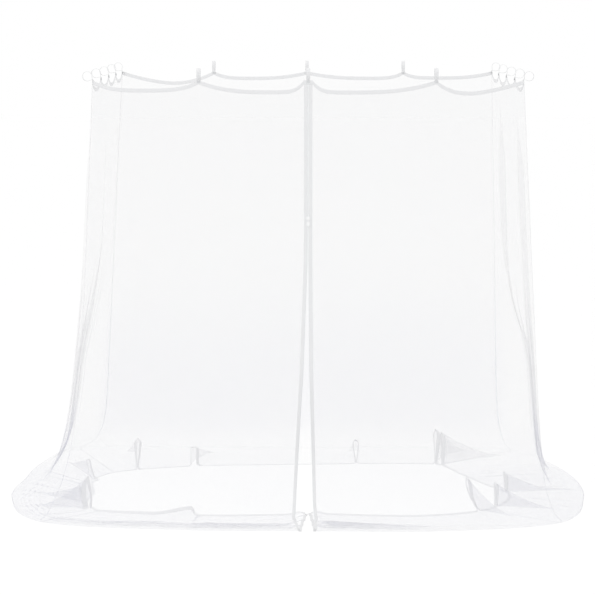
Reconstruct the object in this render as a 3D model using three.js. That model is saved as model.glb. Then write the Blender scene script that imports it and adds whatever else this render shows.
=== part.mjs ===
import * as THREE from 'three';

// A box-shaped mosquito net hung by tape loops, in millimetres, +Z up.
// Seen from the side with the zip, +X is to the right and +Y to the back.
// The origin is in the middle of the open top, level with the top edge of the heading.

const hangHeight = 2045; // the top edge at a loop, above the floor
const clothThickness = 2;
const seamGap = 0.3; // between pieces that are sewn edge to edge
const headingWidth = 16;
const hemTapeWidth = 17;
const zipTapeWidth = 17.4;
const coilWidth = 1.95;
const coilThickness = 3;

const foldBulge = 8; // the soft outer fold stands out past the flap under it
const foldHeight = 10;
const tuckGrowth = 1.6; // how steeply a tuck rises from the fold towards the hem
const bowDepth = 400; // the drop from the heading at which a wall fold has its full depth

// One row for each vertical section, from the left edge of the zip round to its right edge.
// top, fold and hem are places in plan. The wall leans out evenly over its height by the share
// lean of its reach, and flares by the rest, fading by a factor e over the height flare.
const sections = [
  { top: [-20, -1000], fold: [-20, -1385], hem: [-20, -1000], lean: 0.18, flare: 130 },
  { top: [-508, -1000], fold: [-535, -1362], hem: [-520, -1020], lean: 0.21, flare: 150 },
  { top: [-1000, -1000], fold: [-1240, -1172], hem: [-1000, -905], lean: 0.37, flare: 235 },
  { top: [-1000, -500], fold: [-1438, -590], hem: [-1082, -790], lean: 0.23, flare: 175 },
  { top: [-1000, 0], fold: [-1426, -110], hem: [-1064, -440], lean: 0.23, flare: 170 },
  { top: [-1000, 500], fold: [-1386, 370], hem: [-1086, -110], lean: 0.3, flare: 140 },
  { top: [-1000, 1000], fold: [-1230, 848], hem: [-1006, 185], lean: 0.46, flare: 60 },
  { top: [-504, 1000], fold: [-600, 876], hem: [-650, 318], lean: 0.25, flare: 80 },
  { top: [0, 1000], fold: [0, 864], hem: [0, 390], lean: 0.2, flare: 90 },
  { top: [520, 1000], fold: [540, 864], hem: [528, 413], lean: 0.2, flare: 90 },
  { top: [1000, 1000], fold: [1095, 780], hem: [694, 376], lean: 0.4, flare: 80 },
  { top: [1000, 500], fold: [1268, 350], hem: [796, 108], lean: 0.3, flare: 80 },
  { top: [1000, 0], fold: [1346, -100], hem: [895, -175], lean: 0.3, flare: 75 },
  { top: [1000, -500], fold: [1338, -600], hem: [1000, -500], lean: 0.32, flare: 80 },
  { top: [1000, -1000], fold: [1172, -1185], hem: [852, -880], lean: 0.58, flare: 110 },
  { top: [594, -1000], fold: [620, -1382], hem: [545, -1030], lean: 0.26, flare: 120 },
  { top: [20, -1000], fold: [20, -1385], hem: [20, -985], lean: 0.18, flare: 130 },
];
const spans = sections.length - 1;

// The net is sewn from panels that meet in a seam at each corner: the sections where each one runs.
const panels = [
  { name: 'net_front_left', from: 0, to: 2 },
  { name: 'net_left', from: 2, to: 6 },
  { name: 'net_back', from: 6, to: 10 },
  { name: 'net_right', from: 10, to: 14 },
  { name: 'net_front_right', from: 14, to: 16 },
];

// The top edge from each section to the next: how far it sags, the share of the span at which it
// is lowest, how square the curve is before and after that, and how far the wall under it bows out.
const topEdges = [
  { sag: 46, low: 0.34, bends: [5, 2.7], bow: 6 },
  { sag: 38, low: 0.52, bends: [3.5, 3.2], bow: -8 },
  { sag: 39, low: 0.5, bends: [2.4, 2.4], bow: 30 },
  { sag: 37, low: 0.55, bends: [2.4, 2.4], bow: -24 },
  { sag: 40, low: 0.45, bends: [2.4, 2.4], bow: 22 },
  { sag: 38, low: 0.5, bends: [2.4, 2.4], bow: -34 },
  { sag: 55, low: 0.56, bends: [1.6, 2], bow: 8 },
  { sag: 29, low: 0.45, bends: [4, 2.3], bow: -6 },
  { sag: 29, low: 0.62, bends: [2.4, 4], bow: 5 },
  { sag: 27, low: 0.46, bends: [5, 2.4], bow: -12 },
  { sag: 38, low: 0.5, bends: [2.4, 2.4], bow: 42 },
  { sag: 41, low: 0.45, bends: [2.4, 2.4], bow: -36 },
  { sag: 38, low: 0.5, bends: [2.4, 2.4], bow: 40 },
  { sag: 40, low: 0.55, bends: [2.4, 2.4], bow: -30 },
  { sag: 52, low: 0.6, bends: [1.4, 2.6], bow: 10 },
  { sag: 47, low: 0.67, bends: [2.7, 5.5], bow: -7 },
];

// The hem is shorter than the fold, so the spare cloth stands up in tucks, at most one in a span.
// at is the share of the span's hem. The crest leans along the hem and tilts out towards the fold;
// turn, in degrees, swings the tuck's width from along the hem towards the fold.
const tucks = [
  { span: 1, at: 0.15, height: 34, width: 58, lean: -36, tilt: -10, turn: 0 },
  { span: 2, at: 0.5, height: 142, width: 52, lean: 4, tilt: 6, turn: 38 },
  { span: 3, at: 0.26, height: 88, width: 36, lean: -8, tilt: 6, turn: 0 },
  { span: 5, at: 0.17, height: 100, width: 38, lean: 10, tilt: 38, turn: 0 },
  { span: 6, at: 0.41, height: 158, width: 34, lean: 4, tilt: 0, turn: 0 },
  { span: 7, at: 0.11, height: 98, width: 46, lean: 0, tilt: 0, turn: 0 },
  { span: 8, at: 0.45, height: 120, width: 38, lean: -3, tilt: 0, turn: 0 },
  { span: 9, at: 0.83, height: 177, width: 34, lean: 6, tilt: 0, turn: 0 },
  { span: 10, at: 0.12, height: 168, width: 34, lean: -4, tilt: 0, turn: 0 },
  { span: 12, at: 0.8, height: 100, width: 38, lean: 8, tilt: -12, turn: 0 },
  { span: 13, at: 0.74, height: 110, width: 36, lean: -10, tilt: -8, turn: 0 },
  { span: 14, at: 0.14, height: 160, width: 36, lean: 56, tilt: -16, turn: 0 },
];

// The outline of a tuck across the hem, pinched at its foot: shares of its width and height.
const tuckOutline = [
  { across: -0.74, up: 0 },
  { across: -0.4, up: 0.1 },
  { across: -0.5, up: 0.62 },
  { across: -0.38, up: 0.92 },
  { across: 0, up: 1 },
  { across: 0.38, up: 0.92 },
  { across: 0.5, up: 0.62 },
  { across: 0.4, up: 0.1 },
  { across: 0.74, up: 0 },
];
const tuckSpread = 0.28; // half the share of a span's fold that one tuck takes up
const tuckMargin = 0.06; // and the least share kept clear of it at each end of the span
const longRun = 0.2; // a plain run of fold past this share of the span has a column half way along
const plainSteps = 6; // columns in a span with no tuck

// The front edges of the net, parted below the slider.
const sliderHeight = 1390;
const frontEdges = [
  { height: hangHeight, left: -20, right: 20 },
  { height: sliderHeight, left: -20, right: 20 },
  { height: 690, left: -40, right: 24 },
  { height: 85, left: -72, right: 38 },
  { height: 0, left: -80, right: 55 },
];
const partingFade = 6; // how quickly the parting dies out along the front

// Rows of the wall by height above the floor, then rows of the flap by share of its width.
const wallHeights = [1700, sliderHeight, 690, 430, 270, 160, 85, 30];
const flapShares = [0.3, 0.65, 1];

const loopRadius = 23;
const loopTape = 2; // thickness of the tape round the loop
const loopWidth = 18;
const loopTab = 12; // the loop's two ends run together down the inner face of the heading
const loopRise = 2; // and this far above it
const loopNeck = 10; // from there to the round part
const loopSegments = 16;
const cornerInset = 14; // a corner loop is sewn this far from the corner, on the side wall

// Which way each loop faces, and how far it leans outward, in degrees.
const facing = { right: 0, back: 90, left: 180, front: -90 };
const loops = [
  { name: 'loop_front_middle', at: [0, -1000], faces: 'front', lean: 4 },
  { name: 'loop_front_left', at: [-508, -1000], faces: 'front', lean: 6 },
  { name: 'loop_corner_front_left', at: [-1000, cornerInset - 1000], faces: 'left', lean: 58 },
  { name: 'loop_left_1', at: [-1000, -500], faces: 'left', lean: 50 },
  { name: 'loop_left_2', at: [-1000, 0], faces: 'left', lean: 50 },
  { name: 'loop_left_3', at: [-1000, 500], faces: 'left', lean: 46 },
  { name: 'loop_corner_back_left', at: [-1000, 1000 - cornerInset], faces: 'left', lean: 45 },
  { name: 'loop_back_left', at: [-504, 1000], faces: 'back', lean: 5 },
  { name: 'loop_back_middle', at: [0, 1000], faces: 'back', lean: 3 },
  { name: 'loop_back_right', at: [520, 1000], faces: 'back', lean: 6 },
  { name: 'loop_corner_back_right', at: [1000, 1000 - cornerInset], faces: 'right', lean: 46 },
  { name: 'loop_right_3', at: [1000, 500], faces: 'right', lean: 48 },
  { name: 'loop_right_2', at: [1000, 0], faces: 'right', lean: 54 },
  { name: 'loop_right_1', at: [1000, -500], faces: 'right', lean: 53 },
  { name: 'loop_corner_front_right', at: [1000, cornerInset - 1000], faces: 'right', lean: 57 },
  { name: 'loop_front_right', at: [594, -1000], faces: 'front', lean: 5 },
];

const slider = { width: 10, foot: 7, length: 15, depth: 3.6, corner: 2 };
const pull = { width: 8, length: 24, depth: 1.6, corner: 2.5, hole: 2.2 };

const group = new THREE.Group();

function addPiece(name, geometry, look, parent = group) {
  const mesh = new THREE.Mesh(geometry, new THREE.MeshStandardMaterial(look));
  mesh.name = name;
  parent.add(mesh);
  return mesh;
}

// Plan curves of the outer fold and of the hem, through one point for each section.
function planCurve(column) {
  return new THREE.CatmullRomCurve3(
    sections.map((section) => new THREE.Vector3(...section[column], 0)), false, 'centripetal');
}
const foldCurve = planCurve('fold');
const hemCurve = planCurve('hem');

function topEnds(span) {
  return [sections[span], sections[span + 1]].map((section) => new THREE.Vector3(...section.top, 0));
}

function topPlan(column) {
  const [from, to] = topEnds(column.span);
  return from.lerp(to, column.share);
}

// The way out of the net, square to a direction that runs round it.
function outwardOf(along) {
  return new THREE.Vector3(-along.y, along.x, 0).normalize();
}

function foldPlan(column) {
  return foldCurve.getPoint((column.span + column.share) / spans);
}

function hemPlan(column) {
  const along = (column.span + column.hemShare) / spans;
  const tangent = hemCurve.getTangent(along);
  const outward = outwardOf(tangent);
  const turn = THREE.MathUtils.degToRad(column.turn);
  return hemCurve.getPoint(along)
    .addScaledVector(tangent, column.across * Math.cos(turn) + column.lean * column.up)
    .addScaledVector(outward, column.across * Math.sin(turn) + column.tilt * column.up);
}

const noTuck = { across: 0, up: 0, rise: 0, lean: 0, tilt: 0, turn: 0 };
const leftEdge = { span: 0, share: 0, hemShare: 0, ...noTuck };
const rightEdge = { span: spans - 1, share: 1, hemShare: 1, ...noTuck };

// Columns of the net: where each one stands in its span, and its place in a tuck if it has one.
function spanColumns(span) {
  const plain = (share, hemShare) => ({ span, share, hemShare, ...noTuck });
  const tuck = tucks.find((row) => row.span === span);
  if (!tuck) {
    return Array.from({ length: plainSteps }, (_, i) => plain(i / plainSteps, i / plainSteps));
  }
  const nearest = tuckMargin + tuckSpread;
  const middle = THREE.MathUtils.clamp(tuck.at, nearest, 1 - nearest);
  const columns = tuckOutline.map((point, i) => ({
    span,
    share: middle + tuckSpread * (2 * i / (tuckOutline.length - 1) - 1),
    hemShare: tuck.at,
    across: point.across * tuck.width,
    up: point.up,
    rise: point.up * tuck.height,
    lean: tuck.lean,
    tilt: tuck.tilt,
    turn: tuck.turn,
  }));
  const before = columns[0].share;
  const after = columns[columns.length - 1].share;
  const foot = tuckOutline.at(-1).across * tuck.width / hemLength(span);
  const start = [plain(0, 0)];
  if (before > longRun) start.push(plain(before / 2, (tuck.at - foot) / 2));
  const end = [];
  if (after < 1 - longRun) end.push(plain((1 + after) / 2, (1 + tuck.at + foot) / 2));
  return [...start, ...columns, ...end];
}

function hemLength(span) {
  const ends = [span, span + 1].map((i) => hemCurve.getPoint(i / spans));
  return ends[0].distanceTo(ends[1]);
}

function netColumns() {
  const columns = [];
  for (let span = 0; span < spans; span += 1) columns.push(...spanColumns(span));
  return [...columns, rightEdge];
}

// How far the wall has come from the top edge (0) to the outer fold (1) at a height.
function reach(column, height) {
  const [from, to] = [sections[column.span], sections[column.span + 1]];
  const lean = THREE.MathUtils.lerp(from.lean, to.lean, column.share);
  const flare = THREE.MathUtils.lerp(from.flare, to.flare, column.share);
  return lean * (1 - height / hangHeight) + (1 - lean) * Math.exp(-height / flare);
}

// The sag of the top edge, deepest at the span's low point and pointed at the loops.
function sagAt(column) {
  const { sag, low, bends } = topEdges[column.span];
  const before = column.share < low;
  const away = before ? 1 - column.share / low : (column.share - low) / (1 - low);
  return sag * (1 - away ** bends[before ? 0 : 1]);
}

// How far the front edges have moved from their place in the closed part of the zip.
function frontShift(side, height) {
  const below = Math.max(1, frontEdges.findIndex((row) => row.height <= height));
  const upper = frontEdges[below - 1];
  const lower = frontEdges[below];
  const share = (upper.height - height) / (upper.height - lower.height);
  return THREE.MathUtils.lerp(upper[side], lower[side], share) - frontEdges[0][side];
}

function partFront(point, column, height) {
  if (column.span === 0) {
    point.x += frontShift('left', height) * (1 - column.share) ** partingFade;
  }
  if (column.span === spans - 1) {
    point.x += frontShift('right', height) * column.share ** partingFade;
  }
  return point;
}

function topPoint(column, lift) {
  const point = topPlan(column);
  point.z = -headingWidth - seamGap - sagAt(column) + lift;
  return point;
}

function wallPoint(column, height) {
  const [from, to] = topEnds(column.span);
  const share = reach(column, height);
  const point = topPlan(column).lerp(foldPlan(column), share);
  const depth = Math.min(1, (hangHeight - height) / bowDepth) * (1 - share);
  const bow = topEdges[column.span].bow * Math.sin(Math.PI * column.share) * depth;
  point.addScaledVector(outwardOf(to.sub(from)), bow);
  point.z = height - hangHeight;
  return partFront(point, column, height);
}

function foldPoint(column, height, bulge) {
  const point = foldPlan(column);
  const outward = point.clone().sub(hemCurve.getPoint((column.span + column.hemShare) / spans));
  point.addScaledVector(outward.normalize(), bulge);
  point.z = height - hangHeight;
  return partFront(point, column, 0);
}

// The flap is ruled from the fold to the hem; extra is a distance past the hem.
function flapPoint(column, share, extra = 0) {
  const fold = foldPlan(column);
  const hem = hemPlan(column);
  const past = share + extra / fold.distanceTo(hem);
  const point = fold.lerp(hem, past);
  point.z = clothThickness / 2 + column.rise * past ** tuckGrowth - hangHeight;
  return partFront(point, column, 0);
}

// Rows of the whole cloth, from the top of the heading to the free edge of the hem tape.
const headingRows = [
  (column) => topPoint(column, seamGap + headingWidth),
  (column) => topPoint(column, seamGap),
];
const netRows = [
  (column) => topPoint(column, 0),
  ...wallHeights.map((height) => (column) => wallPoint(column, height)),
  (column) => foldPoint(column, foldHeight, foldBulge),
  (column) => foldPoint(column, clothThickness / 2, 0),
  ...flapShares.map((share) => (column) => flapPoint(column, share)),
];
const hemRows = [
  (column) => flapPoint(column, 1, seamGap),
  (column) => flapPoint(column, 1, seamGap + hemTapeWidth),
];

function surfaceNormals(grid) {
  return grid.map((row, r) => row.map((point, c) => {
    const up = grid[Math.max(r - 1, 0)][c];
    const down = grid[Math.min(r + 1, grid.length - 1)][c];
    const before = row[Math.max(c - 1, 0)];
    const after = row[Math.min(c + 1, row.length - 1)];
    return down.clone().sub(up).cross(after.clone().sub(before)).normalize();
  }));
}

// Two rows on either side of a seam take one normal, so that their edges stay parallel.
function matchSeam(normals, lower) {
  normals[lower].forEach((normal, c) => {
    normal.add(normals[lower - 1][c]).normalize();
    normals[lower - 1][c].copy(normal);
  });
}

// A closed sheet of even thickness about a grid of points; a ring has no ends.
function sheetGeometry(grid, normals, thickness, ring = false) {
  const rows = grid.length;
  const columns = grid[0].length;
  const positions = [];
  for (const side of [0.5, -0.5]) {
    grid.forEach((row, r) => row.forEach((point, c) => {
      positions.push(...point.clone().addScaledVector(normals[r][c], side * thickness));
    }));
  }
  const at = (r, c, side) => side * rows * columns + r * columns + c % columns;
  const triangles = [];
  const quad = (a, b, c, d) => triangles.push(a, b, c, a, c, d);
  const steps = ring ? columns : columns - 1;
  for (let c = 0; c < steps; c += 1) {
    for (let r = 0; r < rows - 1; r += 1) {
      quad(at(r, c, 0), at(r + 1, c, 0), at(r + 1, c + 1, 0), at(r, c + 1, 0));
      quad(at(r, c, 1), at(r, c + 1, 1), at(r + 1, c + 1, 1), at(r + 1, c, 1));
    }
    quad(at(0, c, 0), at(0, c + 1, 0), at(0, c + 1, 1), at(0, c, 1));
    quad(at(rows - 1, c, 0), at(rows - 1, c, 1), at(rows - 1, c + 1, 1), at(rows - 1, c + 1, 0));
  }
  for (let r = 0; r < rows - 1 && !ring; r += 1) {
    const last = columns - 1;
    quad(at(r, 0, 0), at(r, 0, 1), at(r + 1, 0, 1), at(r + 1, 0, 0));
    quad(at(r, last, 0), at(r + 1, last, 0), at(r + 1, last, 1), at(r, last, 1));
  }
  const geometry = new THREE.BufferGeometry();
  geometry.setAttribute('position', new THREE.Float32BufferAttribute(positions, 3));
  geometry.setIndex(triangles);
  geometry.computeVertexNormals();
  return geometry;
}

const tapeLook = { color: 0xe4e6ea, roughness: 0.85, metalness: 0 };
const netLook = { color: 0xf4f5f7, roughness: 0.9, metalness: 0, transparent: true, opacity: 0.35 };
const nylonLook = { color: 0xe9ebee, roughness: 0.55, metalness: 0 };
const sliderLook = { color: 0xf2f3f4, roughness: 0.45, metalness: 0 };

// One panel's columns, drawn back by half a gap at a corner seam.
function panelGrid(grid, first, last) {
  return grid.map((row) => row.slice(first, last + 1).map((point, i) => {
    const c = first + i;
    const seam = c > 0 && c < row.length - 1 ? (c === first) - (c === last) : 0;
    if (!seam) return point;
    const along = row[c + 1].clone().sub(row[c - 1]).normalize();
    return point.clone().addScaledVector(along, seam * seamGap / 2);
  }));
}

// The net, its heading and its hem tape are cut from one laid-out surface, so their edges meet.
function addCloth() {
  const columns = netColumns();
  const columnOf = (span) => (span === spans ? columns.length - 1
    : columns.findIndex((column) => column.span === span));
  const grid = [...headingRows, ...netRows, ...hemRows].map((row) => columns.map(row));
  const normals = surfaceNormals(grid);
  const net = headingRows.length;
  const hem = net + netRows.length;
  matchSeam(normals, net);
  matchSeam(normals, hem);
  const piece = (name, from, to, look, ring) => addPiece(
    name, sheetGeometry(grid.slice(from, to), normals.slice(from, to), clothThickness, ring), look);
  for (const { name, from, to } of panels) {
    const [first, last] = [columnOf(from), columnOf(to)];
    const panelNormals = normals.slice(net, hem).map((row) => row.slice(first, last + 1));
    addPiece(name, sheetGeometry(panelGrid(grid.slice(net, hem), first, last), panelNormals, clothThickness), netLook);
  }
  piece('heading_tape', 0, net, tapeLook, true);
  piece('hem_tape', hem, grid.length, tapeLook, false);
}

// A strip along one front edge of the net, between two distances from that edge.
// The coils stop just above the floor.
function addFrontStrip(name, side, near, far, thickness, look, rows) {
  const edge = side === 'left' ? leftEdge : rightEdge;
  const offsets = side === 'left' ? [far, near] : [-near, -far];
  const grid = rows.map((row) => offsets.map((offset) => {
    const point = row(edge);
    point.x += offset;
    return point;
  }));
  addPiece(name, sheetGeometry(grid, surfaceNormals(grid), thickness), look);
}

function addZip() {
  const tapeEnd = seamGap + zipTapeWidth;
  const coilStart = tapeEnd + seamGap;
  const coilEnd = coilStart + coilWidth;
  const coilRows = netRows.slice(0, 1 + wallHeights.length);
  for (const side of ['left', 'right']) {
    addFrontStrip(`zip_tape_${side}`, side, seamGap, tapeEnd, clothThickness, tapeLook, netRows);
    addFrontStrip(`zip_coil_${side}`, side, coilStart, coilEnd, coilThickness, nylonLook, coilRows);
  }
}

function roundedOutline(topWidth, footWidth, length, corner) {
  const shape = new THREE.Shape();
  const corners = [
    [-footWidth / 2, -length / 2], [footWidth / 2, -length / 2],
    [topWidth / 2, length / 2], [-topWidth / 2, length / 2],
  ].map(([x, y]) => new THREE.Vector2(x, y));
  corners.forEach((point, i) => {
    const before = corners[(i + 3) % 4].clone().sub(point).setLength(corner).add(point);
    const after = corners[(i + 1) % 4].clone().sub(point).setLength(corner).add(point);
    if (i === 0) shape.moveTo(before.x, before.y);
    else shape.lineTo(before.x, before.y);
    shape.quadraticCurveTo(point.x, point.y, after.x, after.y);
  });
  shape.closePath();
  return shape;
}

// The slider rides on the coils where they part, and its pull hangs from it.
function addSlider() {
  const seat = wallPoint(leftEdge, sliderHeight);
  const above = wallPoint(leftEdge, sliderHeight + slider.length).sub(seat);
  const place = new THREE.Group();
  place.position.set(0, seat.y, seat.z);
  place.rotation.x = Math.atan2(above.z, above.y);
  group.add(place);
  const bodyShape = roundedOutline(slider.width, slider.foot, slider.length, slider.corner);
  const bodyOptions = { depth: slider.depth, bevelEnabled: false, curveSegments: 3 };
  const body = new THREE.ExtrudeGeometry(bodyShape, bodyOptions);
  const lift = coilThickness / 2 + seamGap;
  addPiece('zip_slider', body, sliderLook, place).position.z = lift;
  const pullShape = roundedOutline(pull.width, pull.width, pull.length, pull.corner);
  const hole = new THREE.Path();
  hole.absarc(0, pull.length / 2 - 2 * pull.hole, pull.hole, 0, 2 * Math.PI, true);
  pullShape.holes.push(hole);
  const pullOptions = { depth: pull.depth, bevelEnabled: false, curveSegments: 3 };
  const tab = addPiece('zip_pull', new THREE.ExtrudeGeometry(pullShape, pullOptions), sliderLook, place);
  tab.position.set(0, -pull.length / 2 + slider.length / 4, lift + slider.depth + seamGap);
}

// A loop of tape, closed at a tab that lies on the inner face of the heading. The outline has the
// way out of the net along its x and up along its y.
function loopOutline(lean) {
  const half = loopTape;
  const tilt = THREE.MathUtils.degToRad(lean);
  const elbow = new THREE.Vector2(-clothThickness / 2 - seamGap - half, loopRise);
  const aside = (side, angle) => new THREE.Vector2(Math.cos(angle), -Math.sin(angle)).multiplyScalar(side * half);
  const centre = new THREE.Vector2(Math.sin(tilt), Math.cos(tilt)).multiplyScalar(loopNeck + loopRadius).add(elbow);
  const round = (angle, radius) => new THREE.Vector2(
    centre.x - radius * Math.sin(tilt + angle), centre.y - radius * Math.cos(tilt + angle));
  const mouth = Math.asin(half / loopRadius);
  const outer = Array.from({ length: loopSegments + 1 }, (_, i) => round(
    -mouth - (2 * (Math.PI - mouth) * i) / loopSegments, loopRadius));
  const inner = Array.from({ length: loopSegments }, (_, i) => round(
    (2 * Math.PI * i) / loopSegments, loopRadius - loopTape));
  const shape = new THREE.Shape([
    new THREE.Vector2(elbow.x - half, -loopTab),
    new THREE.Vector2(elbow.x + half, -loopTab),
    elbow.clone().add(aside(1, tilt / 2)),
    ...outer,
    elbow.clone().add(aside(-1, tilt / 2)),
  ]);
  shape.holes.push(new THREE.Path(inner));
  return shape;
}

function addLoops() {
  for (const loop of loops) {
    const band = new THREE.ExtrudeGeometry(loopOutline(loop.lean), { depth: loopWidth, bevelEnabled: false });
    band.translate(0, 0, -loopWidth / 2);
    const mesh = addPiece(loop.name, band, tapeLook);
    mesh.position.set(loop.at[0], loop.at[1], 0);
    mesh.rotation.set(Math.PI / 2, 0, THREE.MathUtils.degToRad(facing[loop.faces]), 'ZXY');
  }
}

addCloth();
addZip();
addSlider();
addLoops();

export default group;
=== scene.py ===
import bpy
import bmesh
import math
import numpy as np
from mathutils import Matrix, Vector


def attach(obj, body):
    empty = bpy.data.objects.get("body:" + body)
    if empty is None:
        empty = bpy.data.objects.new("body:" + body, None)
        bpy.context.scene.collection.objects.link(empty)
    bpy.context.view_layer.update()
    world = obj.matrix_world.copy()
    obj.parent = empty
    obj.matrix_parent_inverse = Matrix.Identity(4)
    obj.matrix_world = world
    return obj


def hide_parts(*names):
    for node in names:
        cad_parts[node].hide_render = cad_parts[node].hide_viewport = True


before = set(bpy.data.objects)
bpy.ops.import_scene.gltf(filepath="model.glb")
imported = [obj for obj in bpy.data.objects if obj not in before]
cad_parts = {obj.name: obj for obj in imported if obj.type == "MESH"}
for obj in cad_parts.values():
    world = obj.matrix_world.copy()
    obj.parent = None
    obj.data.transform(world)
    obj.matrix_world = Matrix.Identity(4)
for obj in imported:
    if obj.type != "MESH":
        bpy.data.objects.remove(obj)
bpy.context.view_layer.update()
mm = 0.001  # a millimetre, in metres


def newObject(name, data):
    made = bpy.data.objects.new(name, data)
    bpy.context.scene.collection.objects.link(made)
    return made


# Camera: far off, a little above the upper edge

cameraView = {
    "place": (-0.037, -12.9, 0.293), "down": 6.253, "turn": 0.06,
    "lens": 154.9, "sensor": 36, "farthest": 60,
}


def makeCamera():
    data = bpy.data.cameras.new("viewCamera")
    data.lens, data.sensor_width = cameraView["lens"], cameraView["sensor"]
    data.clip_end = cameraView["farthest"]
    camera = newObject("viewCamera", data)
    camera.location = cameraView["place"]
    camera.rotation_euler = (math.radians(90 - cameraView["down"]), 0, math.radians(cameraView["turn"]))
    bpy.context.scene.camera = camera


makeCamera()
print("camera placed")


# Shader sockets as values: an expression adds its own Math nodes

class Link:
    def __init__(self, finish, socket):
        self.finish = finish
        self.socket = socket

    def maths(self, operation, *values):
        return self.finish.add("ShaderNodeMath", {"operation": operation}, dict(enumerate(values)))

    def __add__(self, other):
        return self.maths("ADD", self, other)

    __radd__ = __add__

    def __sub__(self, other):
        return self.maths("SUBTRACT", self, other)

    def __rsub__(self, other):
        return self.maths("SUBTRACT", other, self)

    def __mul__(self, other):
        return self.maths("MULTIPLY", self, other)

    __rmul__ = __mul__

    def __truediv__(self, other):
        return self.maths("DIVIDE", self, other)

    def __lt__(self, other):
        return self.maths("LESS_THAN", self, other)

    def __abs__(self):
        return self.maths("ABSOLUTE", self)

    def wrap(self, size):
        return self.maths("FLOORED_MODULO", self, size)

    def largest(self, other):
        return self.maths("MAXIMUM", self, other)

    def between(self, low, high):  # 0 becomes low, 1 becomes high
        return self * (high - low) + low

    def wave(self, pitch):  # 0 to 1 over each pitch
        return self.maths("SINE", self * (2 * math.pi / pitch)).between(0.5, 1)

    def ramp(self, low, high):  # 0 at low, 1 at high, eased
        return self.finish.add("ShaderNodeMapRange", {"interpolation_type": "SMOOTHSTEP"},
                               {"Value": self, "From Min": low, "From Max": high})


class Finish:
    def __init__(self, name):
        self.material = bpy.data.materials.new(name)
        self.material.use_nodes = True
        self.tree = self.material.node_tree
        self.tree.nodes.clear()

    def pick(self, sockets, key):
        if isinstance(key, int):
            return sockets[key]
        return next(socket for socket in sockets if key in (socket.identifier, socket.name))

    def add(self, kind, settings=None, sockets=None, out=0):
        node = self.tree.nodes.new(kind)
        for key, value in (settings or {}).items():
            setattr(node, key, value)
        for key, value in (sockets or {}).items():
            socket = self.pick(node.inputs, key)
            if isinstance(value, Link):
                self.tree.links.new(value.socket, socket)
            else:
                socket.default_value = value
        if not node.outputs:
            return self.material
        return Link(self, self.pick(node.outputs, out))

    def clothMap(self):  # the piece's own map, then metres along and across the cloth
        uv = self.add("ShaderNodeUVMap", {"uv_map": "cloth"})
        along = self.add("ShaderNodeSeparateXYZ", {}, {0: uv})
        return uv, along, Link(self, along.socket.node.outputs[1])

    def objectPlace(self):
        return self.add("ShaderNodeTexCoord", {}, {}, "Object")

    def placeAlong(self, axis):
        return self.add("ShaderNodeSeparateXYZ", {}, {0: self.objectPlace()}, axis)

    def noise(self, vector, scale, detail):
        return self.add("ShaderNodeTexNoise", {}, {"Vector": vector, "Scale": scale, "Detail": detail}, "Fac")

    def tint(self, factor, first, second):
        return self.add("ShaderNodeMix", {"data_type": "RGBA"},
                        {"Factor_Float": factor, "A_Color": first + (1,), "B_Color": second + (1,)}, "Result_Color")

    def bump(self, height, distance, strength):
        return self.add("ShaderNodeBump", {}, {"Height": height, "Distance": distance, "Strength": strength})

    def surface(self, sockets):
        shader = self.add("ShaderNodeBsdfPrincipled", {}, sockets)
        return self.add("ShaderNodeOutputMaterial", {}, {"Surface": shader})


# pitch from hole to hole, where thread begins between a hole's middle (0) and its edge (0.5),
# then the painted shade: a darker, bluer colour where light falls off, by metres above the loops (heights) and
# behind the middle (reaches)
netLook = {
    "pitch": 0.0024, "thread": (0.43, 0.47), "threadAlpha": 0.58, "holeAlpha": 0.012,
    "pale": (0.715, 0.715, 0.72), "paintedShade": (0.36, 0.367, 0.49), "cloud": (1.7, 2), "cloudShare": 0.15,
    "roughness": (0.72, 0.84), "bump": (0.0002, 0.6), "sheen": 0.15,
    "backReach": (0.75, 0.98), "frontShare": 0.1, "floorHeights": (-2.035, -1.88), "wallShadeHeights": (-1.75, -0.9),
    "frontReach": (-0.1, 0.6), "frontHeights": (-1.77, -1.52), "frontShade": 0.6,
    "edgeReach": (-1.4, -1.0), "edgeShare": 0.62,
}


def nettingFinish(name, look):
    f = Finish(name)
    uv, along, across = f.clothMap()
    px, py = along / look["pitch"], across / look["pitch"]
    tall = math.sqrt(3)  # two rows of six-sided holes, where one hole is 1 wide
    ax, ay = px.wrap(1) - 0.5, py.wrap(tall) - tall / 2
    bx, by = (px - 0.5).wrap(1) - 0.5, (py - tall / 2).wrap(tall) - tall / 2
    near = (ax * ax + ay * ay) < (bx * bx + by * by)
    hx, hy = abs(bx + (ax - bx) * near), abs(by + (ay - by) * near)
    thread = hx.largest(hx * 0.5 + hy * (tall / 2)).ramp(*look["thread"])
    cloud = f.noise(uv, *look["cloud"])
    depth, height = f.placeAlong(1), f.placeAlong(2)
    # painted shade on the walls: most on the back wall and low down, fading out at the floor
    back = depth.ramp(*look["backReach"]).between(look["frontShare"], 1)
    low = 1 - height.ramp(*look["wallShadeHeights"])
    wallShade = height.ramp(*look["floorHeights"]) * back * low
    # painted shade on the front flap
    front = (1 - depth.ramp(*look["frontReach"])) * (1 - height.ramp(*look["frontHeights"])) * look["frontShade"]
    front = front * depth.ramp(*look["edgeReach"]).between(look["edgeShare"], 1)
    paintedShade = wallShade.largest(front)  # painted shade, for less light low on the walls and on the front flap
    # the painted shade, mixed with random clouds of tone
    mask = paintedShade * (1 - look["cloudShare"]) + cloud * look["cloudShare"]
    return f.surface({
        "Base Color": f.tint(mask, look["pale"], look["paintedShade"]),
        "Roughness": cloud.between(*look["roughness"]),
        "Alpha": thread.between(look["holeAlpha"], look["threadAlpha"]),
        "Normal": f.bump(thread, *look["bump"]),
        "Sheen Weight": look["sheen"],
    })


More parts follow.
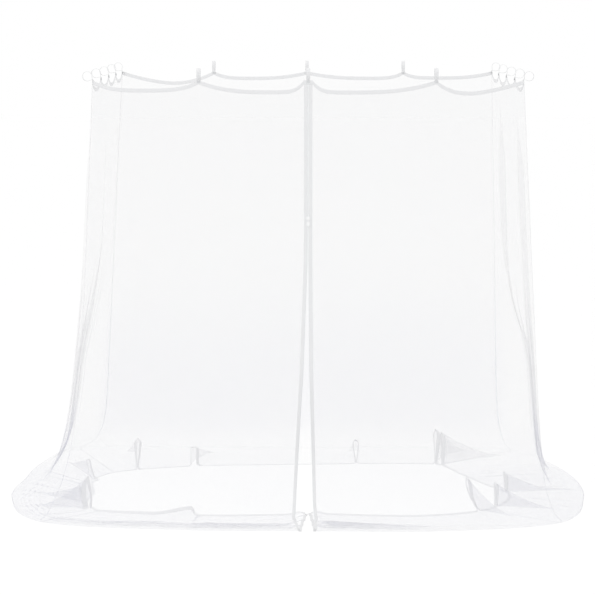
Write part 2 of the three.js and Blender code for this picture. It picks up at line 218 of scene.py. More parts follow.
tapeLook = {
    "rib": 0.0013, "warp": 0.0008, "skew": 0.0002, "ribShare": 0.6, "fuzz": (260, 4), "worn": (9, 3),
    "shares": (0.55, 0.25, 0.3), "pale": (0.815, 0.818, 0.826), "shade": (0.71, 0.713, 0.722),
    "roughness": (0.7, 0.9), "fuzzBump": 0.4, "bump": (0.00025, 0.8), "sheen": 0.2, "low": 0,
}
zipLook = {**tapeLook, "low": 0.75, "footShadeHeights": (-1.85, -1.2)}  # painted shade: greyer towards the floor


def tapeFinish(name, look):
    f = Finish(name)
    uv, along, across = f.clothMap()
    ribs = along.wave(look["rib"])
    warp = (across + look["skew"] * ribs).wave(look["warp"])
    weave = ribs * look["ribShare"] + warp * (1 - look["ribShare"])
    fuzz, worn = f.noise(uv, *look["fuzz"]), f.noise(uv, *look["worn"])
    weaveShare, fuzzShare, wornShare = look["shares"]
    mask = weave * weaveShare + fuzz * fuzzShare + worn * wornShare
    # painted shade: where low is set, the colour is pulled towards the darker tone lower down
    if look["low"]:
        mask = mask - (1 - f.placeAlong(2).ramp(*look["footShadeHeights"])) * look["low"]
    return f.surface({
        "Base Color": f.tint(mask, look["shade"], look["pale"]),
        "Roughness": fuzz.between(*look["roughness"]),
        "Normal": f.bump(weave + look["fuzzBump"] * fuzz, *look["bump"]),
        "Sheen Weight": look["sheen"],
    })


threadLook = {
    "grain": (1400, 2), "dark": (0.70, 0.71, 0.73), "pale": (0.86, 0.87, 0.88),
    "roughness": (0.6, 0.8), "bump": (0.0001, 0.5), "coat": 0,
}
coilLook = {
    "grain": (120, 3), "dark": (0.74, 0.76, 0.77), "pale": (0.84, 0.86, 0.87),
    "roughness": (0.32, 0.44), "bump": (0.0001, 0.3), "coat": 0.15,
}


def grainFinish(name, look):
    f = Finish(name)
    grain = f.noise(f.objectPlace(), *look["grain"])
    return f.surface({
        "Base Color": f.tint(grain, look["dark"], look["pale"]),
        "Roughness": grain.between(*look["roughness"]),
        "Normal": f.bump(grain, *look["bump"]),
        "Coat Weight": look["coat"],
    })


sliderLook = {
    "grain": (900, 3), "rub": (140, 4), "rubFrom": (0.55, 0.75), "rubShare": 0.15,
    "pale": (0.87, 0.872, 0.875), "rubbed": (0.81, 0.81, 0.815),
    "roughness": (0.3, 0.45), "bump": (0.00005, 0.4), "coat": 0.3,
}


def sliderFinish(name, look):
    f = Finish(name)
    place = f.objectPlace()
    grain, rub = f.noise(place, *look["grain"]), f.noise(place, *look["rub"]).ramp(*look["rubFrom"])
    return f.surface({
        "Base Color": f.tint(rub, look["pale"], look["rubbed"]),
        "Roughness": grain.between(*look["roughness"]) + look["rubShare"] * rub,
        "Normal": f.bump(grain, *look["bump"]),
        "Coat Weight": look["coat"],
    })


netting = nettingFinish("finePolyesterNetting", netLook)
tapeWeave = tapeFinish("wovenBindingTape", tapeLook)
zipWeave = tapeFinish("wovenZipTape", zipLook)
sewingThread = grainFinish("sewingThread", threadLook)
nylonCoil = grainFinish("nylonCoil", coilLook)
whiteSlider = sliderFinish("whiteSlider", sliderLook)
print("finishes made")


# The cloth, in millimetres: heights are above the floor, and a place round the net
# counts the spans between loops from the left edge of the zip

cloth = {
    "hang": 2045, "span": 500, "gap": 0.3, "heading": 16, "headingLap": 1.3, "underTape": 8,
    "bowDepth": 400, "partingFade": 6, "flapLift": 1, "lowest": 0.9, "farOff": 10000,
    "plainSteps": 6, "fineSteps": 6,
}

# place in plan of the upper edge, the outer fold and the hem, then the wall's lean and flare
sections = [
    dict(top=(-20, -1000), fold=(-20, -1385), hem=(-20, -1000), lean=0.18, flare=130),
    dict(top=(-508, -1000), fold=(-535, -1362), hem=(-520, -1020), lean=0.21, flare=150),
    dict(top=(-1000, -1000), fold=(-1240, -1172), hem=(-1000, -905), lean=0.37, flare=235),
    dict(top=(-1000, -500), fold=(-1438, -590), hem=(-1082, -790), lean=0.23, flare=175),
    dict(top=(-1000, 0), fold=(-1426, -110), hem=(-1064, -440), lean=0.23, flare=170),
    dict(top=(-1000, 500), fold=(-1386, 370), hem=(-1086, -110), lean=0.3, flare=140),
    dict(top=(-1000, 1000), fold=(-1230, 848), hem=(-1002, 145), lean=0.46, flare=60),
    dict(top=(-504, 1000), fold=(-600, 876), hem=(-650, 318), lean=0.25, flare=80),
    dict(top=(0, 1000), fold=(0, 864), hem=(0, 390), lean=0.2, flare=90),
    dict(top=(520, 1000), fold=(540, 864), hem=(528, 413), lean=0.2, flare=90),
    dict(top=(1000, 1000), fold=(1095, 780), hem=(694, 376), lean=0.4, flare=80),
    dict(top=(1000, 500), fold=(1268, 350), hem=(796, 108), lean=0.3, flare=80),
    dict(top=(1000, 0), fold=(1346, -100), hem=(895, -175), lean=0.3, flare=75),
    dict(top=(1000, -500), fold=(1338, -600), hem=(1000, -500), lean=0.32, flare=80),
    dict(top=(1000, -1000), fold=(1172, -1185), hem=(852, -880), lean=0.58, flare=110),
    dict(top=(594, -1000), fold=(620, -1382), hem=(545, -1030), lean=0.26, flare=120),
    dict(top=(20, -1000), fold=(20, -1385), hem=(20, -985), lean=0.18, flare=130),
]
spans = len(sections) - 1

# the upper edge over each span: sag, share of the span where it is lowest,
# how square it is before and after that, bow of the wall below it
topEdges = [
    (46, 0.34, 5, 2.7, 6), (38, 0.52, 3.5, 3.2, -8), (39, 0.5, 2.4, 2.4, 18), (37, 0.55, 2.4, 2.4, -14),
    (40, 0.45, 2.4, 2.4, 13), (38, 0.5, 2.4, 2.4, -20), (55, 0.56, 1.6, 2, 8), (29, 0.45, 4, 2.3, -6),
    (29, 0.62, 2.4, 4, 5), (27, 0.46, 5, 2.4, -12), (38, 0.5, 2.4, 2.4, 42), (41, 0.45, 2.4, 2.4, -36),
    (38, 0.5, 2.4, 2.4, 40), (40, 0.55, 2.4, 2.4, -30), (52, 0.6, 1.4, 2.6, 10), (47, 0.67, 2.7, 5.5, -7),
]


def refine(values, steps):  # a smooth line through a table's values that never overshoots them
    values = np.asarray(values, float)
    step = np.diff(values)
    slope = np.concatenate([step[:1], np.zeros(len(values) - 2), step[-1:]])
    rising = step[:-1] * step[1:] > 0
    slope[1:-1][rising] = 2 * (step[:-1] * step[1:])[rising] / (step[:-1] + step[1:])[rising]
    t = np.arange(steps) / steps
    a, b = values[:-1, None], values[1:, None]
    line = (a * (2 * t**3 - 3 * t**2 + 1) + slope[:-1, None] * (t**3 - 2 * t**2 + t)
            + b * (3 * t**2 - 2 * t**3) + slope[1:, None] * (t**3 - t**2))
    return np.concatenate([line.ravel(), values[-1:]])


def planCurve(line):  # a curve through the sections, with even bends where they are uneven
    knots = np.array([row[line] for row in sections], float)
    knots = np.vstack([2 * knots[0] - knots[1], knots, 2 * knots[-1] - knots[-2]])

    def at(place):
        span = np.clip(np.floor(place).astype(int), 0, spans - 1)
        t = (place - span)[:, None]
        p = [knots[span + i] for i in range(4)]
        d = [np.sqrt(np.linalg.norm(p[i + 1] - p[i], axis=1))[:, None] for i in range(3)]
        start = d[1] * ((p[1] - p[0]) / d[0] - (p[2] - p[0]) / (d[0] + d[1]) + (p[2] - p[1]) / d[1])
        end = d[1] * ((p[2] - p[1]) / d[1] - (p[3] - p[1]) / (d[1] + d[2]) + (p[3] - p[2]) / d[2])
        return (p[1] + start * t + (3 * (p[2] - p[1]) - 2 * start - end) * t**2
                + (2 * (p[1] - p[2]) + start + end) * t**3)
    return at


foldCurve, hemCurve = planCurve("fold"), planCurve("hem")


def outwardOf(along):
    return np.stack([-along[:, 1], along[:, 0]], axis=1) / np.linalg.norm(along, axis=1)[:, None]


def mirrored(half):
    return half + [(-across, up) for across, up in half[-2::-1]]


# standing tucks of the ground flap, by span
tuckSizes = {"spread": 0.28, "margin": 0.06, "longRun": 0.2, "growth": 2}
tucks = {
    1: dict(at=0.15, height=27, width=80, lean=0, tilt=-10, turn=0, form="lying", pinch=0),
    2: dict(at=0.5, height=142, width=46, lean=14, tilt=6, turn=38, form="pointed"),
    3: dict(at=0.26, height=88, width=36, lean=-8, tilt=6, turn=0),
    5: dict(at=0.17, height=100, width=30, lean=10, tilt=40, turn=40, form="square"),
    6: dict(at=0.41, height=158, width=43, lean=4, tilt=0, turn=0),
    7: dict(at=0.11, height=98, width=47, lean=0, tilt=0, turn=0, form="square", pinch=0.45),
    8: dict(at=0.45, height=120, width=34, lean=-3, tilt=0, turn=0, pinch=0.35),
    9: dict(at=0.87, height=177, width=44, lean=6, tilt=0, turn=0),
    10: dict(at=0.16, height=168, width=38, lean=-4, tilt=0, turn=0),
    12: dict(at=0.8, height=100, width=38, lean=8, tilt=-12, turn=0),
    13: dict(at=0.74, height=110, width=36, lean=-10, tilt=-8, turn=0),
    14: dict(at=0.14, height=160, width=36, lean=62, tilt=-16, turn=0),
}
tuckForms = {  # across and up, as shares of width and height
    "standing": mirrored([(-0.74, 0), (-0.16, 0.08), (-0.36, 0.5), (-0.5, 0.86), (0, 1)]),
    "square": mirrored([(-0.9, 0), (-0.48, 0.12), (-0.45, 0.6), (-0.42, 0.94), (0, 1)]),
    "pointed": mirrored([(-0.74, 0), (-0.3, 0.06), (-0.5, 0.36), (-0.4, 0.68), (0, 1)]),
    "lying": [(-1.15, 0), (-0.8, 0.16), (-0.68, 0.52), (-0.6, 0.9), (-0.5, 1),
              (-0.1, 0.86), (0.4, 0.56), (0.9, 0.26), (1.6, 0)],
}


def plainColumn(place, hem):  # place at the wall and at the hem; no move along, out, up or across
    return place, hem, 0, 0, 0, 0


def spanColumns(span):
    tuck = tucks.get(span)
    if not tuck:
        places = [span + i / cloth["plainSteps"] for i in range(cloth["plainSteps"])]
        return [plainColumn(place, place) for place in places]
    spread, longRun = tuckSizes["spread"], tuckSizes["longRun"]
    nearest = tuckSizes["margin"] + spread
    middle = min(max(tuck["at"], nearest), 1 - nearest)
    before, after = middle - spread, middle + spread
    turn = math.radians(tuck["turn"])
    start, end = hemCurve(np.array([span, span + 1.0]))
    outline, pinch = tuckForms[tuck.get("form", "standing")], tuck.get("pinch", 1)
    foot = outline[-1][0] * tuck["width"] / np.linalg.norm(end - start)
    rows = [plainColumn(span, span)]
    if before > longRun:
        rows.append(plainColumn(span + before / 2, span + (tuck["at"] - foot) / 2))
    for i, (across, up) in enumerate(outline):
        wide = across * tuck["width"]
        place = span + middle + spread * (2 * i / (len(outline) - 1) - 1)
        along = wide * math.cos(turn) + tuck["lean"] * up * (2 - up)
        out = wide * math.sin(turn) + tuck["tilt"] * math.sqrt(up)
        rows.append((place, span + tuck["at"], along, out, up * tuck["height"], wide * pinch))
    if after < 1 - longRun:
        rows.append(plainColumn(span + (1 + after) / 2, span + (1 + tuck["at"] + foot) / 2))
    return rows


class Columns:  # every column of the fine cloth, from the left edge of the zip round to its right edge
    def __init__(self):
        rows = [row for span in range(spans) for row in spanColumns(span)] + [plainColumn(spans, spans)]
        fine = [refine(values, cloth["fineSteps"]) for values in zip(*rows)]
        self.place, self.hem, self.alongHem, self.outHem, self.rise, self.wide = fine
        self.span = np.clip(np.floor(self.place).astype(int), 0, spans - 1)
        self.share = self.place - self.span
        self.first, self.last = self.span == 0, self.span == spans - 1
        tops = np.array([row["top"] for row in sections], float)
        run = tops[self.span + 1] - tops[self.span]
        self.top = tops[self.span] + run * self.share[:, None]
        self.outward = outwardOf(run)
        self.lean, self.flare = (np.interp(self.place, np.arange(spans + 1), [row[key] for row in sections])
                                 for key in ("lean", "flare"))
        sag, low, before, after, bow = np.array(topEdges, float).T[:, self.span]
        away = np.where(self.share < low, 1 - self.share / low, (self.share - low) / (1 - low))
        self.edge = -cloth["heading"] - cloth["gap"] - sag * (1 - away ** np.where(self.share < low, before, after))
        self.bow = bow * np.sin(math.pi * self.share)
        self.fold = foldCurve(self.place)
        step = 0.002
        tangent = hemCurve(np.minimum(self.hem + step, spans)) - hemCurve(np.maximum(self.hem - step, 0))
        self.tangent = tangent / np.linalg.norm(tangent, axis=1)[:, None]
        self.hemMiddle = hemCurve(self.hem)
        self.hemPlan = (self.hemMiddle + self.tangent * self.alongHem[:, None]
                        + outwardOf(self.tangent) * self.outHem[:, None])
        wide = np.linalg.norm(run, axis=1)
        near = [self.share * wide, (1 - self.share) * wide]
        self.fromZip = np.select([self.first, self.last], near, cloth["farOff"])


columns = Columns()


def readAt(table):  # a table of places round the net and values, at each column
    return np.interp(columns.place, *zip(*table))


# the front edges: height, left, right; then on the floor: share of the flap, left, right
frontEdges = [
    (2045, -20, 20), (1390, -20, 20), (1190, -21.5, 20.5), (690, -40, 24), (85, -72, 38),
    (66, -74, 41), (46, -75, 44), (30, -66, 43), (14, -52, 40), (0, -43, 36),
]
floorEdges = [(0, -43, 36), (0.3, -37, 31), (0.7, -24, 22), (1, -15, 15)]


def partFront(points, place, table=frontEdges):
    places, left, right = np.array(sorted(table), float).T
    shiftLeft = np.interp(place, places, left) - frontEdges[0][1]
    shiftRight = np.interp(place, places, right) - frontEdges[0][2]
    points[columns.first, 0] += (shiftLeft * (1 - columns.share) ** cloth["partingFade"])[columns.first]
    points[columns.last, 0] += (shiftRight * columns.share ** cloth["partingFade"])[columns.last]
    return points


def unevenWave(turn, look, drift=0, swell=0, shift=0):  # folds that are never quite alike
    swing = look["sway"] * np.sin(turn * look["slow"] + drift)
    size = 1 - look["vary"] + look["vary"] * np.sin(turn * look["beat"] + swell)
    return np.sin(turn + swing + shift) * size


# gathers of the side walls: they grow from upper down to full, and end above lower
gatherLook = {
    "upper": 1250, "lower": 10, "fade": 110, "edge": 0.3, "pitch": 76, "drift": 700,
    "sway": 1.6, "slow": 0.23, "vary": 0.3, "beat": 0.37, "swell": 1.3,
}
sideGathers = [dict(first=2.05, last=5.5, full=760, depth=8), dict(first=10.5, last=13.95, full=740, depth=7.5)]


def gathers(height, roundNet):
    look, move = gatherLook, np.zeros(len(roundNet))
    turn = 2 * math.pi * roundNet / look["pitch"]
    wave = unevenWave(turn, look, height / look["drift"], look["swell"])
    for wall in sideGathers:
        inside = (np.clip((columns.place - wall["first"]) / look["edge"], 0, 1)
                  * np.clip((wall["last"] - columns.place) / look["edge"], 0, 1))
        grown = (np.clip((look["upper"] - height) / (look["upper"] - wall["full"]), 0, 1)
                 * np.clip((height - look["lower"]) / look["fade"], 0, 1))
        move += wall["depth"] * inside * grown * wave
    return move


# soft vertical folds of the walls: place round the net, upper and lower end, depth, half width,
# drift on the way down
foldLook = {"share": 0.8, "ease": 0.6}
wallFolds = [
    (2.25, 1950, 300, 6, 46, 30), (2.72, 1900, 500, -8, 40, -20), (3.3, 1980, 350, 7, 52, 20),
    (4.12, 1980, 500, -7, 44, 10), (4.7, 1900, 300, 8, 48, -30), (5.35, 1960, 250, -8, 50, 25),
    (5.8, 1950, 400, 6, 36, -10), (9.62, 760, 60, 13, 40, -70), (9.86, 980, 60, -14, 34, -20),
    (9.2, 620, 60, 8, 60, 60), (10.3, 1990, 250, 9, 42, 30), (10.62, 1940, 420, -10, 36, -10),
    (11.08, 1990, 300, 9, 40, 20), (11.4, 1960, 520, -8, 34, 24), (11.78, 1900, 260, 10, 44, -20),
    (12.25, 1990, 420, -9, 38, 18), (12.6, 1940, 300, 8, 42, -16), (13.1, 1980, 360, -9, 40, 10),
    (13.45, 1900, 500, 8, 36, 26), (13.8, 1960, 240, -6, 34, -12), (6.3, 520, 40, 9, 60, 40),
    (7.1, 420, 40, 10, 50, -10), (8.45, 460, 40, 9, 56, 10), (1.4, 500, 40, 8, 60, 20),
    (14.5, 560, 40, 9, 60, -40), (15.3, 420, 40, 7, 70, 10), (0.5, 420, 40, 7, 70, 0),
]


def softFolds(height):  # outward move of the wall for its gathers and folds
    roundNet = columns.place * cloth["span"]
    move = gathers(height, roundNet)
    for place, upper, lower, depth, half, drift in wallFolds:
        down = np.clip((upper - height) / (upper - lower), 0, 1)
        fade = np.sin(math.pi * down) ** foldLook["ease"]
        across = (roundNet - place * cloth["span"] - drift * down) / half
        move += foldLook["share"] * depth * fade * np.exp(-across ** 2)
    return move


# how far the side walls swing out on their way down: moves at each height, by place round the net
sideSwing = {
    "heights": (0, 60, 120, 220, 380, 540, 700, 860, 1150),
    "moves": {
        3: (0, 0, 3, 13, 35, 42, 40, 28, 0),
        4: (0, 3, 10, 34, 66, 77, 68, 40, 0),
        5: (0, 10, 25, 58, 78, 80, 60, 30, 0),
        11: (0, 40, 74, 94, 97, 90, 66, 30, 0),
        12: (0, 10, 28, 58, 63, 60, 45, 22, 0),
        13: (0, 3, 7, 12, 14, 13, 11, 6, 0),
    },
    "steps": 6, "bowFade": 60,
}


def swingTable():  # one row of moves for each column, at finer heights
    steps, still = sideSwing["steps"], np.zeros(len(sideSwing["heights"]))
    moves = np.array([sideSwing["moves"].get(place, still) for place in range(spans + 1)])
    moves = np.stack([refine(row, steps) for row in moves.T], axis=1)
    moves = np.stack([refine(row, steps) for row in moves], axis=1)
    places = np.arange(spans * steps + 1) / steps
    return np.stack([np.interp(columns.place, places, row) for row in moves], axis=1)


swings, swingHeights = swingTable(), refine(sideSwing["heights"], sideSwing["steps"])


def swingOut(height):
    upper = np.clip(np.searchsorted(swingHeights, height), 1, len(swingHeights) - 1)
    below, above = swingHeights[upper - 1], swingHeights[upper]
    share = np.clip((height - below) / (above - below), 0, 1)
    each = np.arange(len(height))
    return swings[each, upper - 1] * (1 - share) + swings[each, upper] * share


# crumpled cloth at the foot of the zip: on the wall up to upper, and on the flap
crumple = {
    "reach": 55, "upper": 110, "fade": 50, "depth": 10, "pitch": 44, "skew": 30,
    "lift": 17, "folds": 3.2, "spread": 40, "ends": (4, 3, 1.3),
}


def nearZip():
    return np.exp(-(columns.fromZip / crumple["reach"]) ** 2)


def crumpled(height):
    near = nearZip() * np.clip((crumple["upper"] - height) / crumple["fade"], 0, 1)
    turn = 2 * math.pi * height / crumple["pitch"] + columns.fromZip / crumple["skew"]
    return crumple["depth"] * near * np.sin(turn)


def wallRow(height):  # one height for each column
    share = columns.lean * (1 - height / cloth["hang"]) + (1 - columns.lean) * np.exp(-height / columns.flare)
    plan = columns.top + (columns.fold - columns.top) * share[:, None]
    depth = np.clip((columns.edge + cloth["hang"] - height) / cloth["bowDepth"], 0, 1) * (1 - share)
    swing = swingOut(height)
    bow = columns.bow * np.clip(1 - swing / sideSwing["bowFade"], 0, 1)
    out = (bow + softFolds(height)) * depth + crumpled(height) + swing
    plan = plan + columns.outward * out[:, None]
    return partFront(np.column_stack([plan, height - cloth["hang"]]), height)


# how far the cloth just above the fold is drawn in, by place round the net, and the cloth
# on its way down to the fold: height, bulge, share of that depth
foldShape = {
    "gather": [(0, 0), (0.12, 16), (1.6, 16), (2, 0), (14.2, 0), (15, 16), (15.88, 16), (16, 0)],
    "line": [(25, 3, 0), (20, 3, 1), (15.5, 7, 0), (11, 4, 1), (7, 8, 0)],
    "lowShare": 0.6, "steps": 2,
}


def foldRow(height, bulge):
    out = columns.fold - columns.hemMiddle
    plan = columns.fold + out * (bulge / np.linalg.norm(out, axis=1))[:, None]
    heights = np.zeros(len(plan)) + height
    return partFront(np.column_stack([plan, heights - cloth["hang"]]), heights)


# pleats along the flap: share of the way from the fold to the hem, share of their height;
# then their height by place round the net
pleats = {
    "half": 0.017,
    "lines": [(0.06, 0.22), (0.1, 0.36), (0.15, 0.5), (0.222, 0.74), (0.3, 0.6), (0.38, 0.42)],
    "rise": [(0, 6), (0.05, 14), (0.16, 17), (0.54, 23), (0.85, 26), (0.96, 23), (1.05, 15), (1.09, 14),
             (1.18, 17), (1.42, 20), (1.6, 16), (1.85, 13), (2.4, 17), (3.2, 18), (3.9, 10), (4.5, 0),
             (14.9, 0), (15.41, 21), (15.86, 42), (15.94, 24), (16, 6)],
}

# wrinkles that run from the fold to the hem, and their height by place round the net
wrinkles = {
    "pitch": 128, "sway": 1.4, "slow": 0.21, "vary": 0.25, "beat": 0.33, "swell": 4, "shift": 1.2,
    "ends": (5, 5, 1),
    "rise": [(0, 2), (1.9, 3), (2.3, 11), (4.6, 11), (5.6, 3), (6.2, 2), (10.4, 2), (11, 9), (13.4, 10),
             (14.2, 3), (16, 2)],
}


def faded(share, rise, fall, end):  # 0 at the fold, 1 in the middle of the flap, less towards its end
    return min(1, rise * share, fall * (end - min(share, 1)))


def flapRow(share, extra=0):  # share of the way from the fold to the hem, then millimetres further
    run = columns.hemPlan - columns.fold
    past = share + extra / np.linalg.norm(run, axis=1)
    plan = columns.fold + run * past[:, None]
    turn = 2 * math.pi * columns.place * cloth["span"] / wrinkles["pitch"]
    ripple = unevenWave(turn, wrinkles, swell=wrinkles["swell"] * share, shift=wrinkles["shift"] * share)
    ripple = np.maximum(ripple, 0) * readAt(wrinkles["rise"]) * faded(share, *wrinkles["ends"])
    stand = sum(high * np.exp(-((share - at) / pleats["half"]) ** 2) for at, high in pleats["lines"])
    stand = stand * readAt(pleats["rise"])
    foot = np.sin(math.pi * crumple["folds"] * share + columns.fromZip / crumple["spread"]) ** 2
    foot = crumple["lift"] * (nearZip() * faded(share, *crumple["ends"])) * foot
    rise = cloth["flapLift"] + columns.rise * past ** tuckSizes["growth"] + ripple + stand + foot
    return partFront(np.column_stack([plan, rise - cloth["hang"]]), past, floorEdges)


def throughRows(rows, steps):  # soft bend through a few rows, ends left out
    out = []
    for i in range(1, len(rows) - 2):
        p0, p1, p2, p3 = rows[i - 1:i + 3]
        for t in np.arange(steps) / steps:
            bend = (2 * p0 - 5 * p1 + 4 * p2 - p3) * t**2 + (3 * p1 - p0 - 3 * p2 + p3) * t**3
            out.append(0.5 * (2 * p1 + (p2 - p0) * t + bend))
    return out


# rows of points: shares of the way down to an even height, heights on the wall and at the turn,
# then shares of the flap, close together at the pleats
clothLines = {
    "even": 1700, "shares": (0.02, 0.06, 0.12, 0.2, 0.3, 0.42, 0.56, 0.7, 0.85, 1.0),
    "heights": (1600, 1500, 1390, 1290, 1190, 1090, 990, 890, 790, 690, 610, 540, 480, 430, 380, 335, 295, 260,
                225, 190, 160, 132, 110, 92, 78, 66, 55, 45),
    "turn": (45, 34),
    "flap": (0.02, 0.034, 0.047, 0.06, 0.072, 0.082, 0.091, 0.1, 0.112, 0.125, 0.138, 0.15, 0.162, 0.176, 0.19,
             0.203, 0.213, 0.222, 0.231, 0.241, 0.254, 0.269, 0.281, 0.291, 0.3, 0.309, 0.319, 0.33, 0.345, 0.359,
             0.37, 0.38, 0.39, 0.401, 0.416, 0.45, 0.5, 0.56, 0.62, 0.7, 0.77, 0.84, 0.9, 0.95, 1.0),
    "mapped": 14,  # the row that the netting is measured along
}


def clothRows():
    edge = np.column_stack([columns.top, columns.edge])
    hung = columns.edge + cloth["hang"]
    rows = [edge + [0, 0, cloth["underTape"]], edge]
    rows += [wallRow(hung + (clothLines["even"] - hung) * share) for share in clothLines["shares"]]
    rows += [wallRow(np.full(len(hung), float(height))) for height in clothLines["heights"]]
    turned = [wallRow(np.full(len(hung), float(height))) for height in clothLines["turn"]]
    drawnIn, lowShare = readAt(foldShape["gather"]), foldShape["lowShare"]
    tall = lowShare + (1 - lowShare) * drawnIn / max(depth for place, depth in foldShape["gather"])
    turned += [foldRow(height * tall, bulge - drawnIn * drawn) for height, bulge, drawn in foldShape["line"]]
    turned += [foldRow(cloth["flapLift"], 0)] + [flapRow(share) for share in clothLines["flap"][:2]]
    rows += throughRows(turned, foldShape["steps"])
    rows += [flapRow(share) for share in clothLines["flap"]] + [flapRow(1, cloth["underTape"])]
    rows = np.array(rows)
    rows[:, :, 2] = np.maximum(rows[:, :, 2], cloth["lowest"] - cloth["hang"])  # nothing sinks into the floor
    return rows * mm


rowsOfCloth = clothRows()
print("cloth laid out", rowsOfCloth.shape)


# Meshes

def gridPart(points, uv, closed=False):  # rows by columns of points, uv with one more row where rows close
    rows, wide = points.shape[:2]
    r, c = np.meshgrid(np.arange(rows if closed else rows - 1), np.arange(wide - 1), indexing="ij")
    r, c = r.ravel(), c.ravel()
    corners = ((r, c), (r, c + 1), (r + 1, c + 1), (r + 1, c))
    faces = np.stack([(a % rows) * wide + b for a, b in corners], axis=1)
    maps = np.stack([uv[a, b] for a, b in corners], axis=1)
    return points.reshape(-1, 3), faces, maps


def makePiece(name, parts, material):
    points, faces, maps, start = [], [], [], 0
    for partPoints, partFaces, partMaps in parts:
        points.append(partPoints)
        faces.append(partFaces + start)
        maps.append(partMaps)
        start += len(partPoints)
    faces = np.concatenate(faces)
    mesh = bpy.data.meshes.new(name)
    mesh.from_pydata(np.concatenate(points).tolist(), [], faces.tolist())
    layer = mesh.uv_layers.new(name="cloth")
    layer.data.foreach_set("uv", np.concatenate(maps).reshape(-1).astype(np.float32))
    mesh.polygons.foreach_set("use_smooth", np.full(len(faces), True))
    mesh.materials.append(material)
    mesh.update()
    return newObject(name, mesh)


def lengths(points):  # how far along its line each point is
    step = np.linalg.norm(np.diff(points, axis=0), axis=-1)
    return np.concatenate([np.zeros((1,) + step.shape[1:]), np.cumsum(step, axis=0)])


def makeNet():
    reach = np.array([cloth["underTape"] * mm, 0, 0])
    points = np.concatenate([rowsOfCloth[:, :1] + reach, rowsOfCloth, rowsOfCloth[:, -1:] - reach], axis=1)
    down, along = lengths(points), lengths(points[clothLines["mapped"]])
    uv = np.stack([np.broadcast_to(along, down.shape), -down], axis=2)
    return makePiece("netSheet", [gridPart(points, uv)], netting)


# tapes, in millimetres; then share of the width and of the half thickness, sunk under the stitches
tapes = {"thickness": 1.6, "lowest": 0.1, "weldGap": 0.01, "rimSides": 40}
tapeProfile = [
    (0, 0), (0.03, 0.62), (0.08, 1), (0.15, 0.8), (0.22, 1), (0.5, 0.95),
    (0.78, 1), (0.85, 0.8), (0.92, 1), (0.97, 0.62), (1, 0),
]


def ribbonPart(first, second, thickness, closed=False, outward=None):
    middle = (first + second) / 2
    if closed:
        ring = np.concatenate([middle[-1:], middle, middle[:1]])
    else:
        ring = np.concatenate([2 * middle[:1] - middle[1:2], middle, 2 * middle[-1:] - middle[-2:-1]])
    across = second - first
    normal = np.cross(ring[2:] - ring[:-2], across)
    normal /= np.linalg.norm(normal, axis=1)[:, None]
    if outward is not None:
        normal *= np.sign((normal * outward).sum(axis=1))[:, None]
    share, high = np.array(tapeProfile).T
    loop = np.concatenate([share, share[-2:0:-1], share[:1]])
    rise = np.concatenate([high, -high[-2:0:-1], high[:1]]) * (thickness * mm) / 2
    points = first[:, None] + across[:, None] * loop[None, :, None] + normal[:, None] * rise[None, :, None]
    points[..., 2] = np.maximum(points[..., 2], (tapes["lowest"] - cloth["hang"]) * mm)
    run = lengths(np.concatenate([middle, middle[:1]])) if closed else lengths(middle)
    width = np.linalg.norm(across, axis=1).mean()
    uv = np.stack(np.broadcast_arrays(run[:, None], (loop * width)[None, :]), axis=2)
    if not closed:
        uv = np.concatenate([uv, uv[-1:]])
    return gridPart(points, uv, closed), normal


def weld(piece):  # the seam along a ribbon, its ends closed and its faces turned outwards
    work = bmesh.new()
    work.from_mesh(piece.data)
    bmesh.ops.remove_doubles(work, verts=work.verts, dist=tapes["weldGap"] * mm)
    rims = [edge for edge in work.edges if edge.is_boundary]
    if rims:
        bmesh.ops.holes_fill(work, edges=rims, sides=tapes["rimSides"])
    bmesh.ops.recalc_face_normals(work, faces=work.faces)
    work.to_mesh(piece.data)
    work.free()
    piece.data.update()
    return piece


def makeHeading():
    lower = np.column_stack([columns.top, columns.edge + cloth["gap"] - cloth["headingLap"]]) * mm
    upper = lower + [0, 0, (cloth["heading"] + 2 * cloth["headingLap"]) * mm]
    outward = np.column_stack([columns.outward, columns.place * 0])
    part, normal = ribbonPart(lower, upper, tapes["thickness"], closed=True, outward=outward)
    return weld(makePiece("headingTape", [part], tapeWeave)), lower, upper, normal


# how far the free edge draws in at a tuck, and how steeply the tape is turned up:
# place round the net, degrees
hemSizes = {
    "width": 17, "pinch": 0.6,
    "turn": [(0, 12), (1.06, 12), (1.17, 10), (1.24, 78), (1.5, 62), (1.8, 34), (2.05, 14), (3, 2.5),
             (13.5, 2.5), (14.2, 14), (15.9, 16), (16, 4)],
}


def makeHem():
    turn = np.radians(readAt(hemSizes["turn"]))
    inner, outer = (flapRow(1, cloth["gap"] + width) * mm for width in (0, hemSizes["width"] * np.cos(turn)))
    outer[:, :2] -= columns.tangent * (columns.wide * hemSizes["pinch"] * mm)[:, None]
    outer[:, 2] += hemSizes["width"] * np.sin(turn) * mm
    part, normal = ribbonPart(inner, outer, tapes["thickness"])
    normal *= np.sign(normal[:, 2].mean())
    return weld(makePiece("hemTape", [part], tapeWeave)), inner, outer, normal


# the zip's tapes turn away from the front below a height, by a share of their width;
# their upper rows face the front
zipSizes = {"tape": 17.4, "turn": 0.26, "turnFrom": 690, "upperRows": 20}
zipSides = ("left", "right")


def frontPath(side, distance):  # down one front edge, that far from the edge of the net
    column, sign = (0, 1) if side == "left" else (-1, -1)
    path = rowsOfCloth[1:-1, column].copy()
    low = np.clip(1 - (path[:, 2] / mm + cloth["hang"]) / zipSizes["turnFrom"], 0, 1)
    path[:, 0] += sign * distance * (1 - zipSizes["turn"] * low) * mm
    return path


def zipTapeEdges(side):
    return frontPath(side, cloth["gap"]), frontPath(side, cloth["gap"] + zipSizes["tape"])


def makeZipTape(side):
    part, normal = ribbonPart(*zipTapeEdges(side), tapes["thickness"])
    normal *= -np.sign(normal[:zipSizes["upperRows"], 1].mean())
    return weld(makePiece("zipTape" + side.title(), [part], zipWeave)), normal


